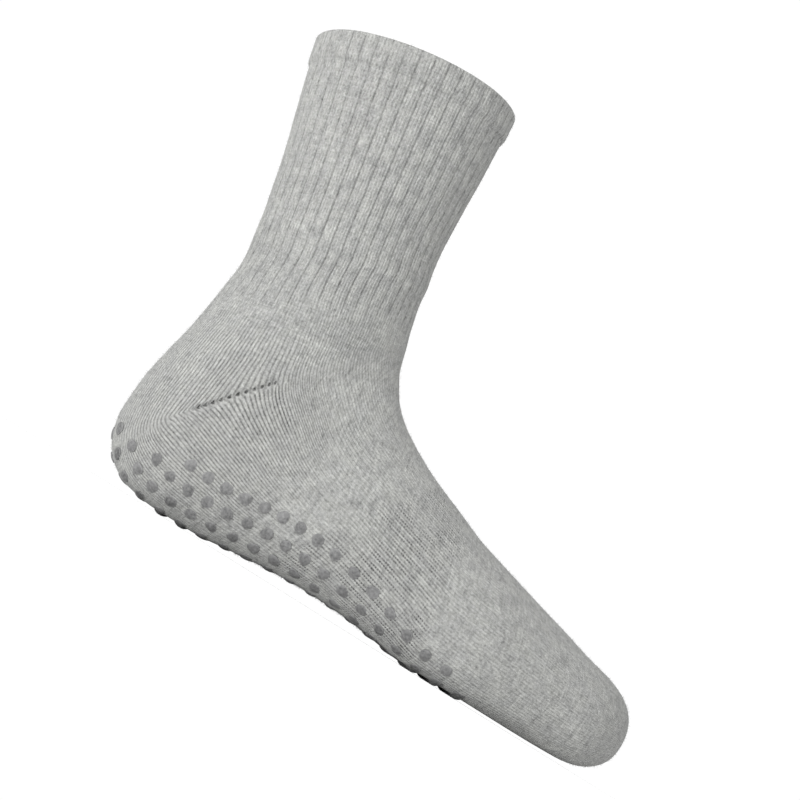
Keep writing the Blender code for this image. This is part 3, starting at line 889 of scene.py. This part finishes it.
def dot_places(sock):
    """Every dot as its point on the sole and the direction out of it."""
    heel_rows = slice(sock.rows_to_heel - 5, sock.rows_to_heel + 1)
    last = float(np.interp(SOLE_LEVEL + DOT_FIELD_TOP, sock.rows[heel_rows, 1], sock.ways[heel_rows]))
    first = sock.way_of_sole_x(DOT_FIELD_END * FOOT_LENGTH)
    columns = np.linspace(first, last, DOT_COLUMNS)
    nudge = DOT_DIAMETER / 10
    found = []
    for column, way in enumerate(columns):
        section = sock.section_at(way)
        from_front, from_back = column, len(columns) - 1 - column
        for row in range(DOT_ROWS_A_SIDE):
            if from_back < row - 1 or from_front < row - 3:
                continue
            distance = (row + 0.5) * DOT_ROW_PITCH
            point, higher = points_on(section, np.array([distance, distance + nudge]))
            ahead = points_on(sock.section_at(way - nudge), np.array([distance]))[0]
            out = np.cross(higher - point, ahead - point)
            out /= np.linalg.norm(out)
            found += [(point, out), (point * [1, -1, 1], out * [1, -1, 1])]
    return found


def dot_points(point, out, rng):
    """A dot's points: its rings from the skirt upwards, its top and the middle of its underside."""
    first = np.cross(out, [0, 1, 0.3])
    first /= np.linalg.norm(first)
    second = np.cross(out, first)
    radius = DOT_DIAMETER / 2 * rng.uniform(*DOT_SPREAD)
    on_floor = point[2] < DOT_FLOOR_SLACK * SOLE_LEVEL
    rise = SOLE_LEVEL * (DOT_FLOOR_RISE if on_floor else rng.uniform(*DOT_RISE))
    wobble = rng.uniform(-DOT_WOBBLE, DOT_WOBBLE, 3)
    turn = rng.uniform(0, 2 * math.pi)
    angle = 2 * math.pi * np.arange(DOT_SIDES) / DOT_SIDES
    edge = 1 + wobble[0] * np.cos(2 * angle + turn) + wobble[1] * np.cos(3 * angle)
    edge += wobble[2] / 2 * np.sin(5 * angle)
    outline = (radius * edge)[:, None] * (np.outer(np.cos(angle), first) + np.outer(np.sin(angle), second))
    skirt = point + DOT_SKIRT * outline - out * DOT_SKIRT_DEPTH
    dome = [
        point + size * outline + out * (DOT_EDGE_RISE + (rise - DOT_EDGE_RISE) * (1 - size**2))
        for size in DOT_RINGS
    ]
    return np.concatenate([skirt, *dome, [point + out * rise, point - out * DOT_SKIRT_DEPTH]])


def dot_faces():
    """The faces of a dot: bands between its rings, then the fans that close its top and its underside."""
    faces = []
    last = len(DOT_RINGS) * DOT_SIDES
    top = last + DOT_SIDES
    for k in range(DOT_SIDES):
        after = (k + 1) % DOT_SIDES
        for ring in range(0, last, DOT_SIDES):
            faces.append((ring + k, ring + after, ring + DOT_SIDES + after, ring + DOT_SIDES + k))
        faces += [(last + k, last + after, top), (after, k, top + 1)]
    return faces


def build_dots(sock, middle):
    """All the silicone dots as low uneven domes in one mesh, those on the floor with a flat underside."""
    rng = np.random.default_rng(7)
    dots = np.array([dot_points(point, out, rng) for point, out in dot_places(sock)])
    count, size = dots.shape[:2]
    faces = [tuple(start + k for k in face) for start in range(0, count * size, size) for face in dot_faces()]
    points = dots.reshape(-1, 3)
    points[:, 0] -= middle
    points[:, 2] = np.maximum(points[:, 2], 0.0)
    mesh = bpy.data.meshes.new("grip_dots")
    mesh.from_pydata(points, [], faces)
    reach = np.concatenate([np.repeat([DOT_SKIRT, *DOT_RINGS], DOT_SIDES), [0.0, 1.0]])
    add_values(mesh, "reach", np.tile(reach, count))
    mesh.shade_smooth()
    return add_object("grip_dots", mesh)


class Value:
    """A shader value. Each operation on it adds a node to its material."""

    def __init__(self, nodes, socket):
        self.nodes, self.socket = nodes, socket

    def __add__(self, other):
        return self.nodes.math("ADD", self, other)

    def __sub__(self, other):
        return self.nodes.math("SUBTRACT", self, other)

    def __rsub__(self, other):
        return self.nodes.math("SUBTRACT", other, self)

    def __mul__(self, other):
        return self.nodes.math("MULTIPLY", self, other)

    def __truediv__(self, other):
        return self.nodes.math("DIVIDE", self, other)

    __radd__, __rmul__ = __add__, __mul__


class Nodes:
    """A material whose shader nodes are added by short names."""

    def __init__(self, name):
        self.material = bpy.data.materials.new(name)
        self.material.use_nodes = True
        self.tree = self.material.node_tree
        self.shader = self.tree.nodes["Principled BSDF"]
        self.place = self.add("ShaderNodeTexCoord", {}, "Object")

    def put(self, socket, value):
        if isinstance(value, Value):
            self.tree.links.new(value.socket, socket)
        else:
            socket.default_value = value

    def add(self, kind, inputs, output=0, **settings):
        """An output of a new node, with its inputs by number or name."""
        node = self.tree.nodes.new(kind)
        for key, value in settings.items():
            setattr(node, key, value)
        for key, value in inputs.items():
            self.put(node.inputs[key], value)
        return Value(self, node.outputs[output])

    def surface(self, **values):
        """The shader's values, by the names of its sockets with _ for a space."""
        for name, value in values.items():
            self.put(self.shader.inputs[name.replace("_", " ")], value)

    def math(self, operation, *values):
        return self.add("ShaderNodeMath", dict(enumerate(values)), operation=operation)

    def length(self, x, y):
        return self.math("SQRT", x * x + y * y)

    def attribute(self, name):
        return self.add("ShaderNodeAttribute", {}, "Fac", attribute_name=name)

    def uv(self, name):
        place = self.add("ShaderNodeUVMap", {}, uv_map=name)
        return [self.add("ShaderNodeSeparateXYZ", {0: place}, axis) for axis in (0, 1)]

    def grey(self, shade):
        return self.add("ShaderNodeCombineColor", dict.fromkeys(range(3), shade))

    def noise(self, vector, scale, detail=2.0, roughness=0.5):
        inputs = {"Vector": vector, "Scale": scale, "Detail": detail, "Roughness": roughness}
        return self.add("ShaderNodeTexNoise", inputs)

    def step(self, value, low, high, start=0.0, end=1.0):
        inputs = dict(enumerate((value, low, high, start, end)))
        return self.add("ShaderNodeMapRange", inputs, interpolation_type="SMOOTHSTEP")

    def mix(self, share, first, second):
        return self.add("ShaderNodeMix", {0: share, 2: first, 3: second})

    def mix_colours(self, share, first, second, blend_type="MIX"):
        inputs = {0: share, 6: first, 7: second}
        return self.add("ShaderNodeMix", inputs, 2, data_type="RGBA", blend_type=blend_type)

    def bump(self, height, strength, distance):
        return self.add("ShaderNodeBump", {"Strength": strength, "Distance": distance, "Height": height})


class HeatherKnit(Nodes):
    """Grey heather knit: wales and stitches as bump, with flecks and soft blotches, and painted shade in its
    grooves.
    """

    def __init__(self):
        super().__init__("heather_knit")
        self.wale, self.foot_course = self.uv("knit")
        self.leg_course = self.uv("leg_knit")[1]
        self.ribbed, self.heel = self.attribute("ribbed"), self.attribute("heel")
        self.on_gore, self.off_gore = self.attribute("on_gore"), self.attribute("off_gore")
        self.strength = self.noise(self.place, STRENGTH_SCALE, 2.0, 0.6)
        self.add_grooves()
        self.add_yarn()
        self.add_holes()
        tint = self.mix_colours(self.step(self.blotch, 0.35, 0.65), KNIT_GREY, KNIT_WARM_GREY)
        colour = self.mix_colours(1.0, tint, self.grey(self.shade()), "MULTIPLY")
        normal = self.bump(self.height(), 0.6, 0.40 * MM)
        self.surface(Base_Color=colour, Normal=normal, Roughness=0.95, Specular_IOR_Level=0.1)
        self.surface(Sheen_Weight=0.15, Sheen_Roughness=0.5)

    def by_course(self, pattern):
        """A pattern along the courses of foot and leg, which meet sharply at the gore and blend elsewhere."""
        reach = self.step(self.on_gore, 0.2, 0.8, 9.0, 0.3)
        leg_side = self.step(self.off_gore / reach, -1.0, 1.0)
        return self.mix(leg_side, pattern(self.foot_course), pattern(self.leg_course))

    def yarn(self, across, course_scale, seed, roughness, detail=2.0):
        """A noise stretched along the wales."""

        def pattern(course):
            vector = self.add("ShaderNodeCombineXYZ", {0: across, 1: course * course_scale, 2: seed})
            return self.noise(vector, 1.0, detail, roughness)

        return self.by_course(pattern)

    def off_middle(self, count):
        """How far a count is from the middle between whole numbers: 0 there, and 1 at a whole number."""
        return self.math("ABSOLUTE", self.math("FRACT", count) - 0.5) * 2.0

    def add_grooves(self):
        """The grooves between wales, which are finer under the gore."""
        self.below_gore = self.step(self.heel, 0.0, 0.35) * self.step(self.off_gore, -1.0, -4.0)
        fine = self.off_middle(self.wale * 1.55)
        self.wale_off = self.mix(self.below_gore, self.off_middle(self.wale), fine)
        self.groove = self.step(self.wale_off, 0.35, 1.0)

    def stitch_wave(self, course):
        """The stitches of a wale, slanting up on either side of its middle."""
        turn = (course + self.wale_off * 0.55) * (2 * math.pi)
        return self.math("SINE", turn) * 0.5 + 0.5

    def add_yarn(self):
        """The stitches and the yarn's light and dark, from single flecks to slow drifts."""
        self.stitch = self.by_course(self.stitch_wave)
        self.fleck = self.yarn(self.wale * 2.4, 0.62, 0.0, 0.65)
        self.dash = self.yarn(self.wale * 0.95, 0.20, 5.0, 0.6)
        self.smear = self.yarn(self.wale * 0.22, 0.85, 17.0, 0.55)
        self.grain = self.noise(self.place, GRAIN_SCALE, 1.0, 0.5)
        self.blotch = self.noise(self.place, BLOTCH_SCALE, 2.0, 0.6)
        self.drift = self.noise(self.place, DRIFT_SCALE, 2.0, 0.5)

    def add_holes(self):
        """The holes beside two of every three wales of the arch band, and those along the gore: dents in the
        bump, with painted shade in them.
        """
        wale_off = self.off_middle(self.wale)
        holed = self.math("LESS_THAN", self.math("FRACT", (self.wale + 0.5) / 3.0), 2 / 3)
        hole_off = self.length((1.0 - wale_off) * 1.3, self.off_middle(self.foot_course) * 1.1)
        patch = self.noise(self.place, PATCH_SCALE, 2.0, 0.6)
        uneven = self.step(self.dash, 0.36, 0.6, 0.3, 1.0) * self.step(patch, 0.36, 0.6, 0.25, 1.15)
        self.hole = self.step(hole_off, 0.9, 0.2) * holed * self.attribute("band") * uneven
        gore_hole_off = self.length(wale_off * 1.45, self.off_gore * 0.62)
        self.gore_hole = self.step(gore_hole_off, 1.0, 0.35) * self.on_gore

    def groove_shade(self):
        """How much painted shade lies in the grooves: most in the heel, the band and the shaded wales, least
        on the leg.
        """
        dark = self.step(self.strength, 0.3, 0.7, 0.06, 0.34)
        dark += self.heel * self.step(self.dash, 0.34, 0.62, 0.40, 0.90)
        dark += self.attribute("band") * 0.24 + self.attribute("dark_wales") * 0.75 + self.below_gore * 0.35
        return dark * self.step(self.ribbed, 0.0, 1.0, 1.0, 1.15)

    def rib_shadow(self):
        """The valleys between ribs, broken along their length, and the fainter shadow beside them."""
        rib = self.wale / RIB_WALES
        off = self.off_middle(rib) * 2.0
        breaks = self.yarn(self.math("FLOOR", rib), 0.24, 31.0, 0.7, 3.0)
        dark = self.step(self.strength, 0.3, 0.66, 0.45, 1.0) * self.step(breaks, 0.36, 0.6, 0.12, 1.0)
        return (self.step(off, 0.42, 0.06) * dark * 0.21 + self.step(off, 1.1, 0.2) * 0.05) * self.ribbed

    def welt_shade(self):
        """The broken line of painted shade under the welt's step."""
        off = self.math("ABSOLUTE", self.attribute("below") - WELT_SHADE_BELOW)
        broken = self.step(self.wale_off, 0.75, 0.35) * self.step(self.strength, 0.35, 0.6, 0.3, 1.0)
        return self.step(off, 0.6, 0.1) * broken

    def shade(self):
        """The knit's brightness, about 1: the yarn's own tones, with painted shade and highlight from its
        relief.
        """
        ribbed = self.ribbed
        shade = (self.fleck - 0.5) * self.step(self.heel, 0.0, 1.0, 1.05, 0.95) + 1.02
        shade += (self.dash - 0.5) * self.step(ribbed, 0.0, 1.0, 0.75, 0.80)
        shade += (self.grain - 0.5) * self.step(ribbed, 0.0, 1.0, 0.62, 0.70)
        shade += (self.blotch - 0.5) * self.step(ribbed, 0.0, 1.0, 0.42, 0.62)
        shade += (self.smear - 0.5) * self.step(self.heel + ribbed, 0.0, 1.0, 0.80, 0.30)
        # The drift is the yarn's own slow tone; the stitch term is painted light and shade of the stitches'
        # relief
        shade += (self.drift - 0.5) * 0.16 + (self.stitch - 0.5) * 0.08
        # Painted highlight on the heel's wales between their grooves
        shade += (1.0 - self.groove) * self.heel * 0.08
        # Painted shade in the grooves between wales and in the valleys between ribs
        shade -= self.groove * self.groove_shade() * 0.40 + self.rib_shadow()
        # Painted shade in the holes of the band and the gore, and under the welt's step
        shade -= self.hole * 0.62 + self.gore_hole * 0.82 + self.welt_shade() * 0.20
        return self.math("MAXIMUM", shade, 0.12)

    def height(self):
        """The knit's bump, finer than its mesh."""
        height = self.stitch * (1.0 - self.groove) * 0.30 - self.groove * 0.35
        height += (self.grain - 0.5) * 0.55 + (self.fleck - 0.5) * 0.6
        return height - self.hole * 1.2 - self.gore_hole * 2.0


def fibre_material():
    """Pale and dark grey fibres, mixed as in the yarn."""
    n = Nodes("loose_fibre")
    shade = n.step(n.noise(n.place, 260.0, 1.0, 0.5), 0.3, 0.7, *FIBRE_GREYS)
    n.surface(Base_Color=n.grey(shade), Roughness=0.9, Specular_IOR_Level=0.1)
    return n.material


def silicone_material():
    """Dark grey silicone, faintly uneven and a little paler at a dot's edge."""
    n = Nodes("grip_silicone")
    cloud, slow = n.noise(n.place, 900.0, 3.0, 0.6), n.noise(n.place, 120.0, 1.0, 0.5)
    edge = n.step(n.attribute("reach"), 0.72, 1.0)
    shade = (cloud - 0.5) * 0.26 + (slow - 0.5) * 0.16 + edge * 0.03 + SILICONE_GREY
    n.surface(Base_Color=n.grey(shade), Normal=n.bump(cloud, 0.35, 0.2 * MM))
    n.surface(Roughness=n.step(cloud, 0.3, 0.7, 0.5, 0.65), Specular_IOR_Level=0.35)
    return n.material


def floor_material():
    """A plain pale floor with the faintest mottle."""
    n = Nodes("pale_floor")
    shade = n.step(n.noise(n.place, 3.0), 0.2, 0.8, *FLOOR_GREYS)
    n.surface(Base_Color=n.grey(shade), Roughness=0.9, Specular_IOR_Level=0.1)
    return n.material


def build_floor():
    mesh = bpy.data.meshes.new("floor")
    corner_signs = ((-1, -1), (1, -1), (1, 1), (-1, 1))
    mesh.from_pydata([(x * FLOOR_REACH, y * FLOOR_REACH, 0) for x, y in corner_signs], [], [(0, 1, 2, 3)])
    floor = add_object("floor", mesh)
    floor.data.materials.append(floor_material())


def area_light(name, place, target, width, height, power):
    data = bpy.data.lights.new(name, "AREA")
    data.shape = "RECTANGLE"
    data.size, data.size_y = width, height
    data.energy = power
    light = add_object(name, data)
    light.location = place
    light.rotation_euler = (Vector(target) - Vector(place)).to_track_quat("-Z", "Y").to_euler()


def build_light():
    world = bpy.data.worlds.new("studio")
    world.use_nodes = True
    sky = world.node_tree.nodes["Background"].inputs
    sky["Color"].default_value = (1.0, 1.0, 1.0, 1.0)
    sky["Strength"].default_value = SKY_LIGHT
    bpy.context.scene.world = world
    area_light("key", **KEY)
    area_light("fill", **FILL)


def build_camera():
    """The camera looks at the sock's side from low down, rolled so that the foot slopes as in the photo."""
    data = bpy.data.cameras.new("camera")
    data.lens = CAMERA_LENS
    data.sensor_width = CAMERA_SENSOR
    target = Vector(CAMERA_TARGET)
    place = Vector((target.x, target.y - CAMERA_DISTANCE, CAMERA_HEIGHT))
    look = (target - place).to_track_quat("-Z", "Y").to_matrix().to_4x4()
    camera = add_object("camera", data)
    camera.matrix_world = Matrix.Translation(place) @ look @ Matrix.Rotation(CAMERA_ROLL, 4, "Z")
    bpy.context.scene.camera = camera


def dress(piece, material, nodes):
    """A piece's material, the solids that it stands for, and the body that it moves with."""
    piece.data.materials.append(material)
    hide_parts(*nodes)
    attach(piece, "root")


def main():
    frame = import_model()
    bpy.context.scene.view_settings.view_transform = "Standard"

    sock = Sock()
    middle = FOOT_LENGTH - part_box("sock_body")[1].x
    knit = Knit(sock, middle)
    heather = HeatherKnit().material
    for piece in (*knit.build(), knit.build_lining()):
        dress(piece, heather, ["sock_body"])
    dress(build_fibres(knit.outside, knit.normals), fibre_material(), ["sock_body"])
    grips = [name for name in frame["nodes"] if name.startswith("grip_dot")]
    dress(build_dots(sock, middle), silicone_material(), grips)

    build_floor()
    build_light()
    build_camera()


main()
